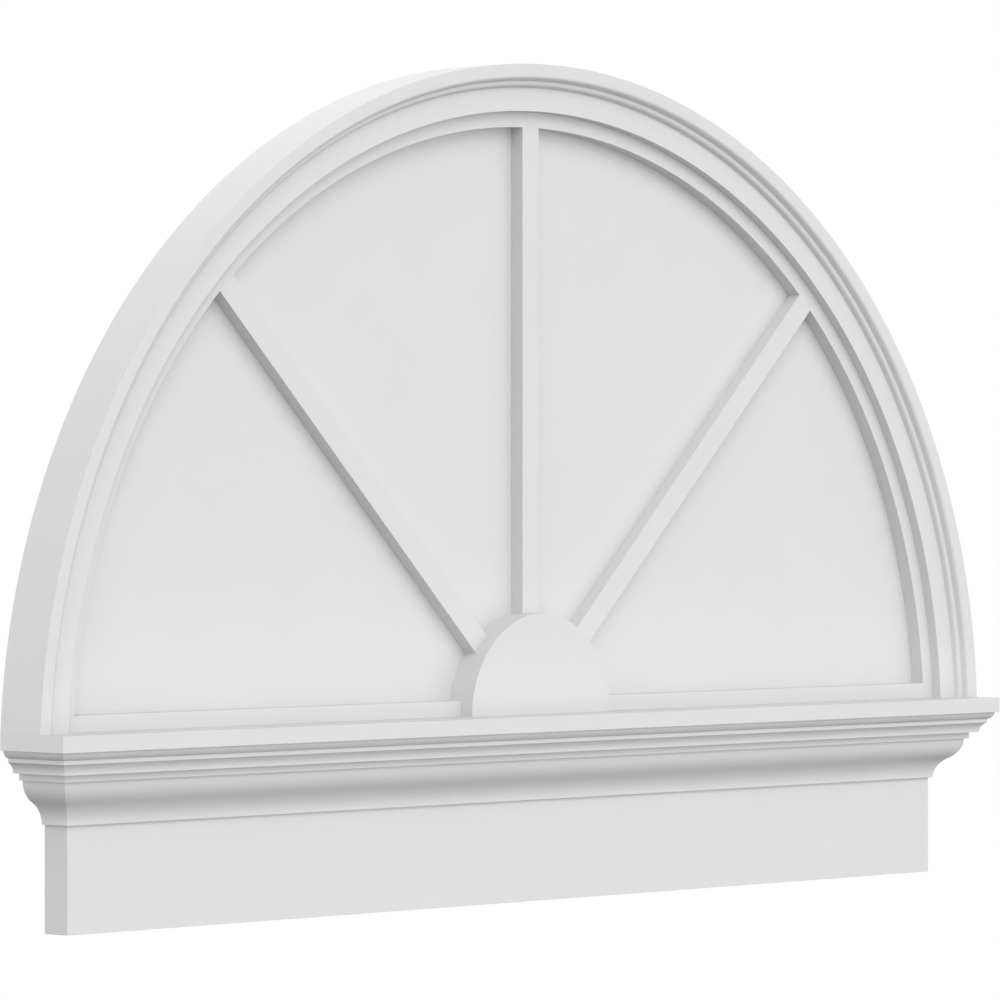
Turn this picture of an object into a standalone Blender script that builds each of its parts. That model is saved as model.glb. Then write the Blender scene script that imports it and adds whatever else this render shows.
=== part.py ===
"""Half round pediment for the wall above a door or a window.

A frieze board carries a mitred cornice, and on the cornice stands an arched
moulding round a flat field with a fan of spokes and a half round hub.
Metres, +Z up, the front faces -Y, the back lies in the plane Y = 0.
The origin is the middle of the frieze board's back.
"""
from math import acos, asin, atan2, cos, hypot, pi, radians, sin, sqrt

import bmesh
import bpy

# Clearance between glued pieces
GLUE_GAP = 0.0003

# Frieze board
FRIEZE_WIDTH = 1.016
FRIEZE_HEIGHT = 0.1524
FRIEZE_THICKNESS = 0.0254

# Cornice, its overhang measured from the frieze board's faces
CORNICE_OVERHANG = 0.04445
CORNICE_HEIGHT = 0.06985
CAP_HEIGHT = 0.0127
CAP_LIP = 0.003
CROWN_OVOLO_WIDTH = 0.0048
CROWN_OVOLO_HEIGHT = 0.006
CROWN_FILLET_HEIGHT = 0.0031
COVE_WIDTH = 0.005
COVE_HEIGHT = 0.0084
SOFFIT_WIDTH = 0.0061
FASCIA_HEIGHT = 0.0055
FASCIA_STEP = 0.0032
FOOT_STEP = 0.0026

# Arch, its centre below the cornice's top, its outside meeting the cap's ends
ARCH_DROP = 0.0254
ARCH_WIDTH = 0.0378
ARCH_DEPTH = 0.04445
BAND_WIDTH = 0.01905
BAND_DEPTH = 0.0342
BEAD_WIDTH = 0.0034
BEAD_ROUND = 0.0026
ARCH_FILLET_WIDTH = 0.0018
ARCH_FILLET_DEPTH = 0.039
ARCH_OVOLO_WIDTH = 0.004
ARCH_OVOLO_ROUND = 0.003

# Field, grille and hub
FIELD_THICKNESS = 0.0127
GRILLE_THICKNESS = 0.0124
RING_WIDTH = 0.0127
RAIL_HEIGHT = 0.0127
SPOKE_WIDTH = 0.01905
SPOKE_COUNT = 3
HUB_RADIUS = 0.0819
HUB_THICKNESS = 0.0251

# Fineness of the round shapes
FACETS_PER_TURN = 144
HUB_FACETS_PER_TURN = 72
CURVE_FACETS = 5
OGEE_FACETS = 7

# Levels and radii that several pieces share
CORNICE_TOP = FRIEZE_HEIGHT / 2
SEAT = CORNICE_TOP + GLUE_GAP
CAP_HALF_WIDTH = FRIEZE_WIDTH / 2 + CORNICE_OVERHANG
ARCH_CENTRE = CORNICE_TOP - ARCH_DROP
ARCH_OUTER = hypot(CAP_HALF_WIDTH, ARCH_DROP)
ARCH_INNER = ARCH_OUTER - ARCH_WIDTH
PANEL_RADIUS = ARCH_INNER - GLUE_GAP
RING_INNER = ARCH_INNER - RING_WIDTH
PANEL_FACE = FIELD_THICKNESS + GLUE_GAP


def clear_scene():
    """Remove every object, so that the model starts in an empty scene."""
    for item in list(bpy.data.objects):
        bpy.data.objects.remove(item, do_unlink=True)


def new_collection(name):
    """A new collection in the scene."""
    group = bpy.data.collections.new(name)
    bpy.context.scene.collection.children.link(group)
    return group


def paint(item, name, colour, roughness):
    """Give an object a Principled material of its own."""
    material = bpy.data.materials.new(name)
    material.use_nodes = True
    shader = material.node_tree.nodes["Principled BSDF"]
    shader.inputs["Base Color"].default_value = (*colour, 1.0)
    shader.inputs["Roughness"].default_value = roughness
    shader.inputs["Metallic"].default_value = 0.0
    item.data.materials.clear()
    item.data.materials.append(material)


def rolled(start, end, radius, facets):
    """Points from start to end, both included: a straight wall, then a round edge.

    The round is an arc about the point that lies radius below end, and it
    reaches end level. The wall runs from start to the arc and touches it there.
    """
    across, drop = end[0] - start[0], start[1] - end[1] + radius
    sweep = atan2(across, drop) - acos(radius / hypot(across, drop))
    points = [start]
    for step in range(facets):
        angle = sweep * (1 - step / (facets - 1))
        points.append((end[0] - radius * sin(angle), end[1] - radius * (1 - cos(angle))))
    return points


def bend(start, end, facets, hollow):
    """Points of a circular arc from start to end, start left out.

    The arc leaves start upright. A hollow one reaches end upright instead.
    """
    across, down = end[0] - start[0], end[1] - start[1]
    radius = (across ** 2 + down ** 2) / (2 * abs(across))
    sweep = 2 * atan2(abs(across), abs(down))
    side, fall = across / abs(across), down / abs(down)
    points = []
    for step in range(1, facets + 1):
        if hollow:
            angle = sweep * (1 - step / facets)
            points.append((end[0] - side * radius * (1 - cos(angle)),
                           end[1] - fall * radius * sin(angle)))
        else:
            angle = sweep * step / facets
            points.append((start[0] + side * radius * (1 - cos(angle)),
                           start[1] + fall * radius * sin(angle)))
    return points


def arc(centre_height, radius, first, last, facets_per_turn):
    """Points of an arc in the X, Z plane round (0, centre_height).

    The two ends are exact, and the points between them lie on whole facets,
    so that arcs of one centre stay parallel. first may be above last.
    """
    pitch = 2 * pi / facets_per_turn
    low, high = min(first, last), max(first, last)
    inner = [n * pitch for n in range(int(low / pitch) + 1, int(high / pitch) + 1)
             if low + pitch / 8 < n * pitch < high - pitch / 8]
    angles = [low] + inner + [high]
    if first > last:
        angles.reverse()
    return [(radius * cos(a), centre_height + radius * sin(a)) for a in angles]


def level_angle(centre_height, radius, height):
    """Angle at which a circle round (0, centre_height) reaches a height."""
    return asin((height - centre_height) / radius)


def sheet(name, outline, back, front, group):
    """A flat piece in the X, Z plane, from depth back to depth front."""
    curve = bpy.data.curves.new(name + "_outline", "CURVE")
    curve.dimensions = "2D"
    curve.fill_mode = "BOTH"
    curve.extrude = (front - back) / 2
    spline = curve.splines.new("POLY")
    spline.points.add(len(outline) - 1)
    for point, (across, height) in zip(spline.points, outline):
        point.co = (across, height, 0.0, 1.0)
    spline.use_cyclic_u = True
    flat = bpy.data.objects.new(name + "_outline", curve)
    flat.location = (0.0, -(front + back) / 2, 0.0)
    flat.rotation_euler = (pi / 2, 0.0, 0.0)
    group.objects.link(flat)
    return as_mesh(flat, name, group)


def as_mesh(source, name, group):
    """Turn a curve object into a closed mesh object in the same place."""
    bpy.context.view_layer.update()
    graph = bpy.context.evaluated_depsgraph_get()
    mesh = bpy.data.meshes.new_from_object(source.evaluated_get(graph))
    mesh.name = name
    form = bmesh.new()
    form.from_mesh(mesh)
    bmesh.ops.remove_doubles(form, verts=form.verts, dist=0.00001)
    bmesh.ops.recalc_face_normals(form, faces=form.faces)
    form.to_mesh(mesh)
    form.free()
    mesh.shade_smooth()
    mesh.set_sharp_from_angle(angle=radians(28))
    solid = bpy.data.objects.new(name, mesh)
    solid.matrix_world = source.matrix_world
    group.objects.link(solid)
    bpy.data.objects.remove(source, do_unlink=True)
    return solid


def make_frieze(group):
    """The plain board behind and below the cornice."""
    bpy.ops.mesh.primitive_cube_add(size=1.0, location=(0.0, -FRIEZE_THICKNESS / 2, 0.0))
    board = bpy.context.object
    board.name = board.data.name = "frieze_board"
    board.scale = (FRIEZE_WIDTH, FRIEZE_THICKNESS, FRIEZE_HEIGHT)
    bpy.ops.object.transform_apply(location=False, rotation=False, scale=True)
    for holder in list(board.users_collection):
        holder.objects.unlink(board)
    group.objects.link(board)
    return board


def crown_profile():
    """Outline of the cornice: distance out from its own back, height below its top."""
    reach = CORNICE_OVERHANG - GLUE_GAP
    points = [(0.0, 0.0), (reach, 0.0), (reach, -CAP_HEIGHT)]
    out, level = reach - CAP_LIP, -CAP_HEIGHT
    points.append((out, level))
    points += bend(points[-1], (out - CROWN_OVOLO_WIDTH, level - CROWN_OVOLO_HEIGHT),
                   CURVE_FACETS, False)
    out, level = points[-1]
    level -= CROWN_FILLET_HEIGHT
    points.append((out, level))
    points += bend(points[-1], (out - COVE_WIDTH, level - COVE_HEIGHT), CURVE_FACETS, True)
    out, level = points[-1]
    out -= SOFFIT_WIDTH
    points.append((out, level))
    level -= FASCIA_HEIGHT
    points.append((out, level))
    out -= FASCIA_STEP
    points.append((out, level))
    foot = (FOOT_STEP, -CORNICE_HEIGHT)
    middle = ((out + foot[0]) / 2, (level + foot[1]) / 2)
    points += bend((out, level), middle, OGEE_FACETS, False)
    points += bend(middle, foot, OGEE_FACETS, True)
    points.append((0.0, foot[1]))
    return points


def make_cornice(group, guides):
    """The crown moulding, carried round three sides of the frieze board."""
    profile = bpy.data.curves.new("crown_profile", "CURVE")
    profile.dimensions = "2D"
    outline = profile.splines.new("POLY")
    points = crown_profile()
    outline.points.add(len(points) - 1)
    for point, (out, level) in zip(outline.points, points):
        point.co = (out, level, 0.0, 1.0)
    outline.use_cyclic_u = True
    guide = bpy.data.objects.new("crown_profile", profile)
    guide.hide_render = True
    guide.display_type = "WIRE"
    guides.objects.link(guide)

    path = bpy.data.curves.new("cornice_path", "CURVE")
    path.dimensions = "2D"
    path.bevel_mode = "OBJECT"
    path.bevel_object = guide
    path.use_fill_caps = True
    side = FRIEZE_WIDTH / 2 + GLUE_GAP
    front = -FRIEZE_THICKNESS - GLUE_GAP
    run = path.splines.new("POLY")
    run.points.add(3)
    for point, (across, depth) in zip(run.points, [(-side, 0.0), (-side, front),
                                                   (side, front), (side, 0.0)]):
        point.co = (across, depth, 0.0, 1.0)
    course = bpy.data.objects.new("cornice_path", path)
    course.location = (0.0, 0.0, CORNICE_TOP)
    group.objects.link(course)
    return as_mesh(course, "cornice", group)


def make_field(group):
    """The half round backboard inside the arch."""
    low = level_angle(ARCH_CENTRE, PANEL_RADIUS, SEAT)
    outline = arc(ARCH_CENTRE, PANEL_RADIUS, low, pi - low, FACETS_PER_TURN)
    return sheet("field_panel", outline, 0.0, FIELD_THICKNESS, group)


def beside_bar(angle, side, distance_from):
    """Where a spoke's edge meets a circle.

    The spoke leaves the hub's centre at angle, and side is -1 or 1. The
    circle is (centre height, radius). Returns the point as (x, z).
    """
    centre_height, radius = distance_from
    along = (cos(angle), sin(angle))
    start = (-side * sin(angle) * SPOKE_WIDTH / 2,
             CORNICE_TOP + side * cos(angle) * SPOKE_WIDTH / 2)
    rise = start[1] - centre_height
    half = start[0] * along[0] + rise * along[1]
    rest = start[0] ** 2 + rise ** 2 - radius ** 2
    reach = -half + sqrt(half ** 2 - rest)
    return (start[0] + reach * along[0], start[1] + reach * along[1])


def make_grille(group):
    """Ring, spokes and rail in one sheet, cut away round the hub."""
    notch = HUB_RADIUS + GLUE_GAP
    rail_top = CORNICE_TOP + RAIL_HEIGHT
    low = level_angle(ARCH_CENTRE, PANEL_RADIUS, SEAT)
    outline = arc(ARCH_CENTRE, PANEL_RADIUS, low, pi - low, FACETS_PER_TURN)
    notch_low = level_angle(CORNICE_TOP, notch, SEAT)
    notch_rail = level_angle(CORNICE_TOP, notch, rail_top)
    ring_rail = level_angle(ARCH_CENTRE, RING_INNER, rail_top)
    outline += arc(CORNICE_TOP, notch, pi - notch_low, pi - notch_rail, HUB_FACETS_PER_TURN)
    ring_angle = pi - ring_rail
    for number in range(SPOKE_COUNT, 0, -1):
        spoke = number * pi / (SPOKE_COUNT + 1)
        edges = {}
        for side in (1, -1):
            far = beside_bar(spoke, side, (ARCH_CENTRE, RING_INNER))
            near = beside_bar(spoke, side, (CORNICE_TOP, notch))
            edges[side] = (atan2(far[1] - ARCH_CENTRE, far[0]),
                           atan2(near[1] - CORNICE_TOP, near[0]))
        outline += arc(ARCH_CENTRE, RING_INNER, ring_angle, edges[1][0], FACETS_PER_TURN)
        outline += arc(CORNICE_TOP, notch, edges[1][1], edges[-1][1], HUB_FACETS_PER_TURN)
        ring_angle = edges[-1][0]
    outline += arc(ARCH_CENTRE, RING_INNER, ring_angle, ring_rail, FACETS_PER_TURN)
    outline += arc(CORNICE_TOP, notch, notch_rail, notch_low, HUB_FACETS_PER_TURN)
    return sheet("fan_grille", outline, PANEL_FACE, PANEL_FACE + GRILLE_THICKNESS, group)


def make_hub(group):
    """The half round block in the middle."""
    low = level_angle(CORNICE_TOP, HUB_RADIUS, SEAT)
    outline = arc(CORNICE_TOP, HUB_RADIUS, low, pi - low, HUB_FACETS_PER_TURN)
    return sheet("hub_block", outline, PANEL_FACE, PANEL_FACE + HUB_THICKNESS, group)


def arch_profile():
    """Section of the arched moulding: radius and depth, down the outside first."""
    band_end = ARCH_INNER + BAND_WIDTH
    fillet_start = band_end + BEAD_WIDTH
    fillet_end = fillet_start + ARCH_FILLET_WIDTH
    rim_start = fillet_end + ARCH_OVOLO_WIDTH
    points = [(ARCH_OUTER, ARCH_DEPTH), (ARCH_OUTER, 0.0), (ARCH_INNER, 0.0),
              (ARCH_INNER, BAND_DEPTH)]
    points += rolled((band_end, BAND_DEPTH), (fillet_start, ARCH_FILLET_DEPTH),
                     BEAD_ROUND, CURVE_FACETS)
    points += rolled((fillet_end, ARCH_FILLET_DEPTH), (rim_start, ARCH_DEPTH),
                     ARCH_OVOLO_ROUND, CURVE_FACETS)
    return points


def make_arch(group, guides):
    """The arched moulding, a turned ring cut off level on the cornice."""
    points = arch_profile()
    mesh = bpy.data.meshes.new("arch_moulding")
    mesh.from_pydata([(radius, 0.0, depth) for radius, depth in points],
                     [(n, (n + 1) % len(points)) for n in range(len(points))], [])
    ring = bpy.data.objects.new("arch_moulding", mesh)
    ring.location = (0.0, 0.0, ARCH_CENTRE)
    ring.rotation_euler = (pi / 2, 0.0, 0.0)
    group.objects.link(ring)
    turn = ring.modifiers.new("turn", "SCREW")
    turn.axis = "Z"
    turn.angle = 2 * pi
    turn.steps = turn.render_steps = FACETS_PER_TURN
    turn.use_merge_vertices = True
    turn.merge_threshold = 0.00001
    turn.use_smooth_shade = True

    height = 2 * ARCH_OUTER
    bpy.ops.mesh.primitive_cube_add(size=1.0, location=(0.0, 0.0, SEAT - height / 2))
    cutter = bpy.context.object
    cutter.name = cutter.data.name = "arch_foot_cutter"
    cutter.scale = (3 * ARCH_OUTER, 4 * ARCH_DEPTH, height)
    bpy.ops.object.transform_apply(location=False, rotation=False, scale=True)
    for holder in list(cutter.users_collection):
        holder.objects.unlink(cutter)
    guides.objects.link(cutter)
    cutter.hide_render = True
    cutter.display_type = "WIRE"
    cut = ring.modifiers.new("foot", "BOOLEAN")
    cut.operation = "DIFFERENCE"
    cut.solver = "EXACT"
    cut.object = cutter
    return ring


def main():
    clear_scene()
    parts = new_collection("half_round_pediment")
    guides = new_collection("cutters")
    white = (0.86, 0.86, 0.85)
    for piece in (make_frieze(parts), make_cornice(parts, guides), make_field(parts),
                  make_grille(parts), make_arch(parts, guides), make_hub(parts)):
        paint(piece, piece.name + "_white", white, 0.5)


main()
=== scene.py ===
"""Looks of the half round pediment.

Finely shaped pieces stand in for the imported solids: milled and glued white
cellular PVC, hung in soft studio light above a pale floor. Metres, +Z up,
the front faces -Y, and the wall would be the plane Y = 0.
"""

import bmesh
import bpy
import numpy as np
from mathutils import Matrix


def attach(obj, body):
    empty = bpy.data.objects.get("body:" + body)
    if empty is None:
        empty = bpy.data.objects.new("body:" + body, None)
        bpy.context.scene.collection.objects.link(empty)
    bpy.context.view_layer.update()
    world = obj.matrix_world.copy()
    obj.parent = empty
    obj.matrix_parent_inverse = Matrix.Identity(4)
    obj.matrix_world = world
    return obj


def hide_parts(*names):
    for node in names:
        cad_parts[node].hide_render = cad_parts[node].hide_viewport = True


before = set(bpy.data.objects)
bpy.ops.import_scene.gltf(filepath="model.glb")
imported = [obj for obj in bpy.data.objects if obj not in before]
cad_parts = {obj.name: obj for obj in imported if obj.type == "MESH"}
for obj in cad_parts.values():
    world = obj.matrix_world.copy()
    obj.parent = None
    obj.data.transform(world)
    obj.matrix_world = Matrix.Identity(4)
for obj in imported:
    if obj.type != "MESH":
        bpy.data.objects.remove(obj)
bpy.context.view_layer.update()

MM = 0.001

# Sizes of the solids
FRIEZE_WIDTH = 1.016
FRIEZE_HEIGHT = 0.1524
FRIEZE_THICKNESS = 0.0254
CORNICE_OVERHANG = 0.04445
CORNICE_HEIGHT = 0.06985
CAP_HEIGHT = 0.0127
CAP_LIP = 0.003
CROWN_OVOLO_WIDTH = 0.0048
CROWN_OVOLO_HEIGHT = 0.006
CROWN_FILLET_HEIGHT = 0.0031
COVE_WIDTH = 0.005
COVE_HEIGHT = 0.0084
SOFFIT_WIDTH = 0.0061
FASCIA_HEIGHT = 0.0055
FASCIA_STEP = 0.0032
FOOT_STEP = 0.0029
ARCH_DROP = 0.0254
ARCH_WIDTH = 0.0378
ARCH_DEPTH = 0.04445
BAND_WIDTH = 0.01905
BAND_DEPTH = 0.0342
BEAD_WIDTH = 0.0034
BEAD_ROUND = 0.0026
ARCH_FILLET_WIDTH = 0.0018
ARCH_FILLET_DEPTH = 0.039
ARCH_OVOLO_WIDTH = 0.004
ARCH_OVOLO_ROUND = 0.003
FIELD_FACE = 0.0127
GRILLE_FACE = 0.0254
HUB_FACE = 0.0381
RING_WIDTH = 0.0127
RAIL_HEIGHT = 0.0127
SPOKE_WIDTH = 0.01905
SPOKE_ANGLES = np.radians([135.0, 90.0, 45.0])
HUB_RADIUS = 0.0819

CORNICE_TOP = FRIEZE_HEIGHT / 2
ARCH_CENTRE = CORNICE_TOP - ARCH_DROP
ARCH_OUTER = np.hypot(FRIEZE_WIDTH / 2 + CORNICE_OVERHANG, ARCH_DROP)
ARCH_INNER = ARCH_OUTER - ARCH_WIDTH
RING_INNER = ARCH_INNER - RING_WIDTH

# Sanding leaves each milled edge with a fine arris
ARRIS = 0.15 * MM
# Distance from an arris to the next row of points, which keeps the flats evenly shaded
HOLD = 0.25 * MM
ARCH_STATIONS = 361
ARC_PITCH = np.radians(0.5)
HUB_PITCH = np.radians(2.0)
CURVE_STEPS = 12


def arc_down(start, end, hollow=False):
    """Points of a circular arc after start, to end.

    Out = start + r (1 - cos a), level = start + r sin a, with r and the sweep
    chosen so that the arc leaves start upright and ends at end. A hollow arc
    is the same one worked back from end, so that it is upright there.
    """
    start, end = np.array(start, float), np.array(end, float)
    span = end - start
    radius = (span ** 2).sum() / (2 * abs(span[0]))
    sweep = 2 * np.arctan2(abs(span[0]), abs(span[1]))
    share = np.arange(1, CURVE_STEPS + 1) / CURVE_STEPS
    angle = sweep * (1 - share if hollow else share)
    reach = np.stack([1 - np.cos(angle), np.sin(angle)], 1) * radius * np.sign(span)
    return end - reach if hollow else start + reach


def rolled(start, end, radius):
    """Points of a straight wall from start, then of a round edge that reaches end level.

    Point = end - radius * (sin a, 1 - cos a), with a falling to 0 from the
    sweep at which the wall touches the arc.
    """
    across, drop = end[0] - start[0], start[1] - end[1] + radius
    sweep = np.arctan2(across, drop) - np.arccos(radius / np.hypot(across, drop))
    angle = np.linspace(sweep, 0, CURVE_STEPS)
    bow = np.stack([np.sin(angle), 1 - np.cos(angle)], 1) * radius
    return np.vstack([start, np.array(end) - bow])


def eased(outline, radius, crisp=(), steps=3):
    """A closed outline with its sharp corners eased.

    Each corner that turns more than 20 degrees, and isn't in crisp, gives way
    to an arc tangent to both of its edges, with a holding point on each edge
    just outside the arc: point = centre + spoke turned by 0 to the corner's turn.
    """
    before = outline - np.roll(outline, 1, 0)
    after = np.roll(outline, -1, 0) - outline
    long_in, long_out = np.hypot(*before.T), np.hypot(*after.T)
    enter, leave = before / long_in[:, None], after / long_out[:, None]
    turn = np.arctan2(enter[:, 0] * leave[:, 1] - enter[:, 1] * leave[:, 0], (enter * leave).sum(1))
    sharp = np.abs(turn) > np.radians(20)
    sharp[list(crisp)] = False
    slope = np.tan(np.abs(np.where(sharp, turn, 1.0)) / 2)
    shorter = np.minimum(long_in, long_out)
    cut = np.minimum(radius * slope, 0.4 * shorter)
    hold = np.minimum(HOLD, 0.08 * shorter)
    left = np.stack([-enter[:, 1], enter[:, 0]], 1)
    spoke = -left * (np.sign(turn) * cut / slope)[:, None]
    centre = outline - enter * cut[:, None] - spoke
    angle = (turn[:, None] * np.linspace(0, 1, steps + 1))[..., None]
    across = np.stack([-spoke[:, 1], spoke[:, 0]], 1)
    arc = centre[:, None] + np.cos(angle) * spoke[:, None] + np.sin(angle) * across[:, None]
    first = outline - enter * (cut + hold)[:, None]
    last = outline + leave * (cut + hold)[:, None]
    rows = np.concatenate([first[:, None], arc, last[:, None]], 1)
    rows[~sharp] = outline[~sharp][:, None]
    keep = np.repeat(sharp[:, None], steps + 3, 1)
    keep[:, 0] = True
    return rows[keep]


def surface(name, grid):
    """Closed mesh from grid[station, point]: a closed section carried along a path.

    Neighbours are joined by quads, the last point to the first, and a flat
    face closes each end. UV is the distance along the path by the distance
    round the section, in metres.
    """
    stations, points = grid.shape[:2]
    number = np.arange(stations * points).reshape(stations, points)
    beside = np.roll(number, -1, 1)
    quads = np.stack([number[:-1], beside[:-1], beside[1:], number[1:]], -1).reshape(-1, 4)
    faces = quads.tolist() + [number[0, ::-1].tolist(), number[-1].tolist()]
    mesh = bpy.data.meshes.new(name)
    mesh.from_pydata(grid.reshape(-1, 3), [], faces)

    run = np.linalg.norm(np.diff(grid, axis=0), axis=2)
    run = np.vstack([np.zeros((1, points)), run.cumsum(0)])
    girth = np.linalg.norm(np.roll(grid, -1, 1) - grid, axis=2)
    girth = np.hstack([np.zeros((stations, 1)), girth.cumsum(1)])
    u = np.stack([run[:-1], np.roll(run, -1, 1)[:-1], np.roll(run, -1, 1)[1:], run[1:]], -1)
    v = np.stack([girth[:-1, :-1], girth[:-1, 1:], girth[1:, 1:], girth[1:, :-1]], -1)
    ends = np.concatenate([grid[0, ::-1, :2], grid[-1, :, :2]])
    spread = np.concatenate([np.stack([u, v], -1).reshape(-1, 2), ends])
    mesh.uv_layers.new(name="run").data.foreach_set("uv", spread.astype(np.float32).ravel())
    return finished(name, mesh)


def sheet(name, outline, back, front):
    """Flat piece: an eased edge carried round an outline, with flat faces front and back.

    Each outline point moves inwards along its mitre by the section's inset:
    point = outline + (left normals' sum) / (1 + their product) * inset. The
    section runs from the back face round both arrises to the front face.
    """
    following = np.roll(outline, -1, 0)
    if (outline[:, 0] * following[:, 1] - outline[:, 1] * following[:, 0]).sum() < 0:
        outline = outline[::-1]
        following = np.roll(outline, -1, 0)
    leave = (following - outline) / np.hypot(*(following - outline).T)[:, None]
    enter = np.roll(leave, 1, 0)
    inward = np.stack([-leave[:, 1] - enter[:, 1], leave[:, 0] + enter[:, 0]], 1)
    inward /= (1 + (leave * enter).sum(1))[:, None]

    angle = np.linspace(0, np.pi / 2, 4)
    bow = np.stack([1 - np.sin(angle), 1 - np.cos(angle)], 1) * ARRIS
    near = np.vstack([[ARRIS + HOLD, 0], bow, [0, ARRIS + HOLD]])
    low = near + [0, back]
    high = near[::-1] * [1, -1] + [0, front]
    inset, depth = np.vstack([low, high]).T
    flat = outline[None] + inward[None] * inset[:, None, None]
    level = np.broadcast_to(-depth[:, None], flat.shape[:2])
    grid = np.stack([flat[..., 0], level, flat[..., 1]], -1)
    made = surface(name, grid)
    rows = np.zeros(len(made.data.polygons), np.int32)
    edge = len(outline) * len(near)
    side = len(outline) * (len(near) - 1)
    rows[side:edge] = 1
    made.data.polygons.foreach_set("material_index", rows)
    return made


def finished(name, mesh):
    """Object of a closed mesh, with its faces outwards and its curves shaded smooth."""
    form = bmesh.new()
    form.from_mesh(mesh)
    bmesh.ops.recalc_face_normals(form, faces=form.faces)
    form.to_mesh(mesh)
    form.free()
    mesh.shade_smooth()
    mesh.set_sharp_from_angle(angle=np.radians(40))
    piece = bpy.data.objects.new(name, mesh)
    bpy.context.scene.collection.objects.link(piece)
    return piece


def arc(centre_height, radius, first, last, pitch):
    """Points round (0, centre_height) from one angle to another, both included."""
    count = max(2, int(np.ceil(abs(last - first) / pitch)) + 1)
    angle = np.linspace(first, last, count)
    return np.stack([radius * np.cos(angle), centre_height + radius * np.sin(angle)], 1)


def level_angle(centre_height, radius, height):
    """Angle at which a circle round (0, centre_height) reaches a height."""
    return np.arcsin((height - centre_height) / radius)


def spoke_edge(angle, side, centre_height, radius):
    """Angle, seen from (0, centre_height), at which a spoke's edge meets a circle there.

    The edge is the line start + t * along, and t solves |point - centre| = radius.
    """
    along = np.array([np.cos(angle), np.sin(angle)])
    start = np.array([-along[1], along[0]]) * side * SPOKE_WIDTH / 2
    start[1] += CORNICE_TOP - centre_height
    half = start @ along
    point = start + along * (np.sqrt(half ** 2 - start @ start + radius ** 2) - half)
    return np.arctan2(point[1], point[0])


def crown_section():
    """The cornice's outline: distance out from the frieze board, height below its top."""
    out, level = CORNICE_OVERHANG, -CAP_HEIGHT
    rows = [[(0.0, 0.0), (out, 0.0), (out, level)]]
    out -= CAP_LIP
    rows.append([(out, level)])
    rows.append(arc_down((out, level), (out - CROWN_OVOLO_WIDTH, level - CROWN_OVOLO_HEIGHT)))
    out, level = rows[-1][-1]
    level -= CROWN_FILLET_HEIGHT
    rows.append([(out, level)])
    rows.append(arc_down((out, level), (out - COVE_WIDTH, level - COVE_HEIGHT), hollow=True))
    out, level = rows[-1][-1]
    out -= SOFFIT_WIDTH
    rows.append([(out, level), (out, level - FASCIA_HEIGHT)])
    out, level = out - FASCIA_STEP, level - FASCIA_HEIGHT
    foot = np.array([FOOT_STEP, -CORNICE_HEIGHT])
    middle = (foot + [out, level]) / 2
    rows.append([(out, level)])
    rows.append(arc_down((out, level), middle))
    rows.append(arc_down(middle, foot, hollow=True))
    rows.append([(0.0, foot[1])])
    return np.vstack(rows)


def make_cornice():
    """The crown moulding round three sides of the frieze board, mitred at the corners.

    Point = base + out * direction: straight out at the two wall ends, and
    both ways at once at the corners, where the base runs round a fine arc.
    """
    outline = crown_section()
    out, level = eased(outline, ARRIS, crisp=(0, len(outline) - 1)).T
    half, deep = FRIEZE_WIDTH / 2, FRIEZE_THICKNESS
    angle = np.linspace(np.pi, 1.5 * np.pi, 4)
    bow = ARRIS * (1 + np.stack([np.cos(angle), np.sin(angle)], 1))
    bow = np.vstack([bow[0] + [0, HOLD], bow, bow[-1] + [HOLD, 0]])
    corner = bow + [-half, -deep]
    base = np.vstack([[-half, 0], corner, corner[::-1] * [-1, 1], [half, 0]])
    diagonal = np.tile([-1.0, -1.0], (len(corner), 1))
    course = np.vstack([[-1, 0], diagonal, diagonal * [-1, 1], [1, 0]])
    across = base[:, None] + course[:, None] * out[None, :, None]
    height = np.broadcast_to(CORNICE_TOP + level, across.shape[:2])
    return surface("cornice_fine", np.concatenate([across, height[..., None]], 2))


def arch_section():
    """The arched moulding's outline: radius, and depth from the wall."""
    band_end = ARCH_INNER + BAND_WIDTH
    fillet_start = band_end + BEAD_WIDTH
    fillet_end = fillet_start + ARCH_FILLET_WIDTH
    rim_start = fillet_end + ARCH_OVOLO_WIDTH
    return np.vstack([
        [(ARCH_OUTER, ARCH_DEPTH), (ARCH_OUTER, 0.0), (ARCH_INNER, 0.0), (ARCH_INNER, BAND_DEPTH)],
        rolled((band_end, BAND_DEPTH), (fillet_start, ARCH_FILLET_DEPTH), BEAD_ROUND),
        rolled((fillet_end, ARCH_FILLET_DEPTH), (rim_start, ARCH_DEPTH), ARCH_OVOLO_ROUND),
    ])


def make_arch():
    """The arched moulding: its section turned round the arch's centre, feet cut level.

    Angle = first + share * (pi - 2 first), where first is where that radius
    meets the cornice's top, so that both feet lie flat on it.
    """
    radius, depth = eased(arch_section(), ARRIS, crisp=(1, 2)).T
    first = level_angle(ARCH_CENTRE, radius, CORNICE_TOP)
    share = np.linspace(0, 1, ARCH_STATIONS)[:, None]
    angle = first + share * (np.pi - 2 * first)
    depth = np.broadcast_to(-depth, angle.shape)
    grid = [radius * np.cos(angle), depth, ARCH_CENTRE + radius * np.sin(angle)]
    return surface("arch_moulding_fine", np.stack(grid, -1))


def half_round(centre_height, radius, pitch):
    """Outline of a disc cut off level at the cornice's top."""
    low = level_angle(centre_height, radius, CORNICE_TOP)
    return arc(centre_height, radius, low, np.pi - low, pitch)


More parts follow.
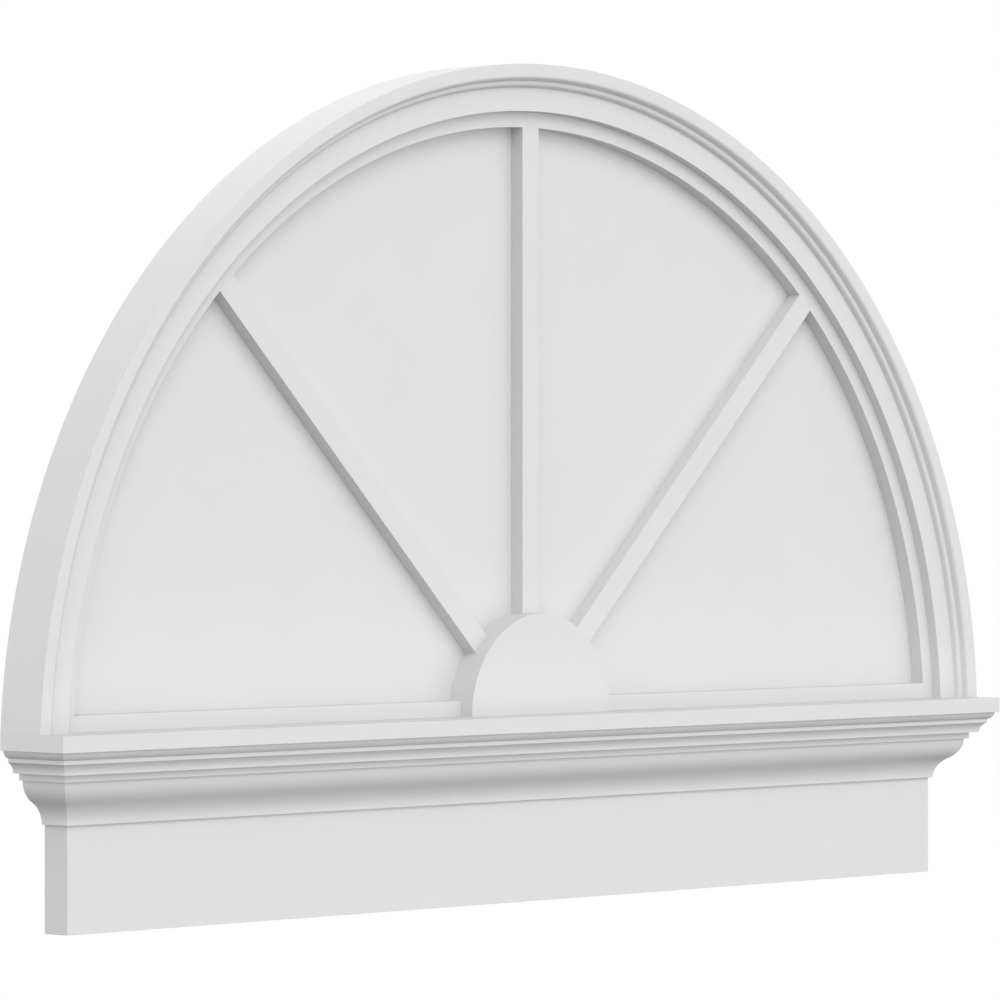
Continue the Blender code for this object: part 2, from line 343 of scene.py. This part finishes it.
def grille_outline():
    """Outline of ring, spokes and rail, open in the middle where the hub stands."""
    rail_top = CORNICE_TOP + RAIL_HEIGHT
    hub_rail = level_angle(CORNICE_TOP, HUB_RADIUS, rail_top)
    ring_rail = level_angle(ARCH_CENTRE, RING_INNER, rail_top)
    runs = [half_round(ARCH_CENTRE, ARCH_INNER, ARC_PITCH)]
    runs.append(arc(CORNICE_TOP, HUB_RADIUS, np.pi, np.pi - hub_rail, HUB_PITCH))
    reached = np.pi - ring_rail
    for spoke in SPOKE_ANGLES:
        ring_in, ring_out = (spoke_edge(spoke, side, ARCH_CENTRE, RING_INNER) for side in (1, -1))
        hub_in, hub_out = (spoke_edge(spoke, side, CORNICE_TOP, HUB_RADIUS) for side in (1, -1))
        runs.append(arc(ARCH_CENTRE, RING_INNER, reached, ring_in, ARC_PITCH))
        runs.append(arc(CORNICE_TOP, HUB_RADIUS, hub_in, hub_out, HUB_PITCH))
        reached = ring_out
    runs.append(arc(ARCH_CENTRE, RING_INNER, reached, ring_rail, ARC_PITCH))
    runs.append(arc(CORNICE_TOP, HUB_RADIUS, hub_rail, 0.0, HUB_PITCH))
    return np.vstack(runs)


def linear(colour):
    """Linear RGBA of an sRGB hex colour."""
    value = np.array([int(colour[n:n + 2], 16) for n in (0, 2, 4)]) / 255
    value = np.where(value <= 0.04045, value / 12.92, ((value + 0.055) / 1.055) ** 2.4)
    return (*value, 1.0)


def add(tree, kind, settings=None, values=None, **links):
    """Adds a node with its settings, socket values and links from other sockets."""
    node = tree.nodes.new(kind)
    for name, value in (settings or {}).items():
        setattr(node, name, value)
    for name, value in (values or {}).items():
        node.inputs[name].default_value = value
    for name, source in links.items():
        tree.links.new(source, node.inputs[name.replace("_", " ")])
    return node


def new_material(name):
    """A material with its Principled shader."""
    material = bpy.data.materials.new(name)
    material.use_nodes = True
    return material, material.node_tree, material.node_tree.nodes["Principled BSDF"]


def tint_and_relief(tree, shader, tint, colours, relief, strength, distance):
    """Colour between two hex colours by one pattern, and fine relief by another."""
    mix = add(tree, "ShaderNodeMix", {"data_type": "RGBA"},
              {6: linear(colours[0]), 7: linear(colours[1])}, Factor=tint.outputs["Fac"])
    bump = add(tree, "ShaderNodeBump", None, {"Strength": strength, "Distance": distance},
               Height=relief.outputs["Fac"])
    tree.links.new(mix.outputs[2], shader.inputs["Base Color"])
    tree.links.new(bump.outputs["Normal"], shader.inputs["Normal"])
    shader.inputs["IOR"].default_value = 1.52


def calendered_sheet():
    """White free-foamed PVC sheet as it leaves the calender.

    A smooth closed skin, satin, with soft cloudy differences in gloss about
    60 mm wide and a very shallow orange peel. The real peel is under 1 mm
    across, and it is drawn at 3 mm so that it shows.
    """
    material, tree, shader = new_material("white_pvc_calendered_skin")
    place = add(tree, "ShaderNodeTexCoord").outputs["Object"]
    cloud = add(tree, "ShaderNodeTexNoise", None, {"Scale": 1 / 0.06, "Detail": 2.0}, Vector=place)
    peel = add(tree, "ShaderNodeTexNoise", None, {"Scale": 1 / 0.003, "Detail": 2.0}, Vector=place)
    tint_and_relief(tree, shader, cloud, ("D0D0D0", "D4D4D4"), peel, 0.25, 0.00003)
    gloss = add(tree, "ShaderNodeMapRange", None, {"To Min": 0.42, "To Max": 0.54},
                Value=cloud.outputs["Fac"])
    tree.links.new(gloss.outputs["Result"], shader.inputs["Roughness"])
    return material


def routed_edge():
    """The routed edge of foamed PVC sheet.

    The cutter opens the cells, so it is duller than the skin and finely
    pitted. Cells are 0.2 mm, and they are drawn at 1.2 mm so that they show.
    """
    material, tree, shader = new_material("white_pvc_routed_edge")
    place = add(tree, "ShaderNodeTexCoord").outputs["Object"]
    cells = add(tree, "ShaderNodeTexNoise", None, {"Scale": 1 / 0.0012, "Detail": 3.0}, Vector=place)
    tint_and_relief(tree, shader, cells, ("CDCDCD", "D2D2D2"), cells, 0.3, 0.00005)
    shader.inputs["Roughness"].default_value = 0.62
    return material


def milled_moulding():
    """White PVC moulding, milled to its profile and wiped smooth.

    The cutter leaves faint lines along the run, about 1 mm apart and 150 mm
    long, which the satin surface shows as soft changes of gloss.
    """
    material, tree, shader = new_material("white_pvc_milled_moulding")
    run = add(tree, "ShaderNodeUVMap", {"uv_map": "run"}).outputs["UV"]
    drawn = add(tree, "ShaderNodeMapping", None, {"Scale": (1 / 0.15, 1 / 0.001, 1.0)}, Vector=run)
    lines = add(tree, "ShaderNodeTexNoise", None, {"Scale": 1.0, "Detail": 2.0},
                Vector=drawn.outputs["Vector"])
    place = add(tree, "ShaderNodeTexCoord").outputs["Object"]
    cloud = add(tree, "ShaderNodeTexNoise", None, {"Scale": 1 / 0.08, "Detail": 2.0}, Vector=place)
    tint_and_relief(tree, shader, cloud, ("D0D0D0", "D4D4D4"), lines, 0.2, 0.00002)
    gloss = add(tree, "ShaderNodeMapRange", None, {"To Min": 0.40, "To Max": 0.52},
                Value=lines.outputs["Fac"])
    tree.links.new(gloss.outputs["Result"], shader.inputs["Roughness"])
    return material


skin, edge, moulding = calendered_sheet(), routed_edge(), milled_moulding()

board = np.array([(-1, -1), (1, -1), (1, 1), (-1, 1)]) * [FRIEZE_WIDTH / 2, FRIEZE_HEIGHT / 2]
pieces = [
    (sheet("frieze_board_fine", eased(board, 3 * ARRIS), 0.0, FRIEZE_THICKNESS),
     "frieze_board", (skin, edge)),
    (make_cornice(), "cornice", (moulding,)),
    (sheet("field_panel_fine", half_round(ARCH_CENTRE, ARCH_INNER, ARC_PITCH), 0.0, FIELD_FACE),
     "field_panel", (skin, edge)),
    (sheet("fan_grille_fine", grille_outline(), FIELD_FACE, GRILLE_FACE),
     "fan_grille", (skin, edge)),
    (make_arch(), "arch_moulding", (moulding,)),
    (sheet("hub_block_fine", half_round(CORNICE_TOP, HUB_RADIUS, HUB_PITCH), FIELD_FACE, HUB_FACE),
     "hub_block", (skin, edge)),
]
for piece, node, finishes in pieces:
    for finish in finishes:
        piece.data.materials.append(finish)
    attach(piece, "root")
    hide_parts(node)

# Camera of the photograph: level, from the front left
CAMERA_PLACE = (-3.49203, -3.31533, 0.26290)
CAMERA_YAW = 46.409
CAMERA_PITCH = 0.150
CAMERA_LENS = 212.166
lens = bpy.data.cameras.new("photo_camera")
lens.sensor_width = 36.0
lens.lens = CAMERA_LENS
lens.clip_end = 60.0
camera = bpy.data.objects.new("photo_camera", lens)
camera.location = CAMERA_PLACE
camera.rotation_euler = (np.radians(90 - CAMERA_PITCH), 0.0, np.radians(-CAMERA_YAW))
bpy.context.scene.collection.objects.link(camera)
bpy.context.scene.camera = camera

# Pale studio floor, a door's height below the piece, as a disc with a closed rim
FLOOR_DROP = 2.2
FLOOR_RADIUS = 1.1
ring = np.linspace(0, 2 * np.pi, 96, endpoint=False)[:, None] + np.zeros((1, 4))
reach = np.array([0.0, FLOOR_RADIUS, FLOOR_RADIUS, 0.0]) + 0 * ring
drop = np.array([0.0, 0.0, 0.05, 0.05]) + 0 * ring
disc = np.stack([reach * np.cos(ring), reach * np.sin(ring), -FLOOR_DROP - drop], -1)
number = np.arange(disc[..., 0].size).reshape(disc.shape[:2])
joined = np.stack([number[:, :-1], np.roll(number, -1, 0)[:, :-1],
                   np.roll(number, -1, 0)[:, 1:], number[:, 1:]], -1).reshape(-1, 4)
floor_mesh = bpy.data.meshes.new("studio_floor")
floor_mesh.from_pydata(disc.reshape(-1, 3), [], joined.tolist())
form = bmesh.new()
form.from_mesh(floor_mesh)
bmesh.ops.remove_doubles(form, verts=form.verts, dist=0.00001)
bmesh.ops.recalc_face_normals(form, faces=form.faces)
form.to_mesh(floor_mesh)
form.free()
floor = bpy.data.objects.new("studio_floor", floor_mesh)
bpy.context.scene.collection.objects.link(floor)
paint, floor_tree, floor_shader = new_material("pale_floor_paint")
floor_shader.inputs["Base Color"].default_value = linear("CCCCCC")
floor_shader.inputs["Roughness"].default_value = 0.8
floor_mesh.materials.append(paint)

# Broad soft lights round the piece: degrees to the right of the front, degrees up, strength.
# Each is a lobe of the surroundings, strength * max(0, direction . glow) ** GLOW_FOCUS
GLOW_FOCUS = 8.0
GLOWS = (
    (-30, 40, 3.37),
    (0, -20, 1.59),
    (60, 12, 1.12),
    (30, 12, 1.09),
    (-60, 12, 0.80),
    (180, 45, 1.30),
    (135, 35, 1.82),
    (-135, 0, 2.69),
)
world = bpy.data.worlds.new("white_studio")
world.use_nodes = True
bpy.context.scene.world = world
tree = world.node_tree
toward = add(tree, "ShaderNodeTexCoord").outputs["Generated"]
total = None
for turn, rise, strength in GLOWS:
    turn, rise = np.radians(turn), np.radians(rise)
    glow_place = (np.sin(turn) * np.cos(rise), -np.cos(turn) * np.cos(rise), np.sin(rise))
    facing = add(tree, "ShaderNodeVectorMath", {"operation": "DOT_PRODUCT"}, {1: glow_place})
    tree.links.new(toward, facing.inputs[0])
    lit = add(tree, "ShaderNodeMath", {"operation": "MAXIMUM"}, {1: 0.0})
    tree.links.new(facing.outputs["Value"], lit.inputs[0])
    lobe = add(tree, "ShaderNodeMath", {"operation": "POWER"}, {1: GLOW_FOCUS})
    tree.links.new(lit.outputs[0], lobe.inputs[0])
    sum_so_far = add(tree, "ShaderNodeMath", {"operation": "MULTIPLY_ADD"}, {1: strength, 2: 0.0})
    tree.links.new(lobe.outputs[0], sum_so_far.inputs[0])
    if total is not None:
        tree.links.new(total, sum_so_far.inputs[2])
    total = sum_so_far.outputs[0]
glow = add(tree, "ShaderNodeBackground", None, {"Color": (1.0, 1.0, 1.0, 1.0)}, Strength=total)

# The camera sees plain white there
seen = tree.nodes["Background"]
seen.inputs["Color"].default_value = (1.0, 1.0, 1.0, 1.0)
choice = add(tree, "ShaderNodeMixShader")
path = add(tree, "ShaderNodeLightPath")
tree.links.new(path.outputs["Is Camera Ray"], choice.inputs[0])
tree.links.new(glow.outputs[0], choice.inputs[1])
tree.links.new(seen.outputs[0], choice.inputs[2])
tree.links.new(choice.outputs[0], tree.nodes["World Output"].inputs["Surface"])

bpy.context.scene.view_settings.view_transform = "Standard"
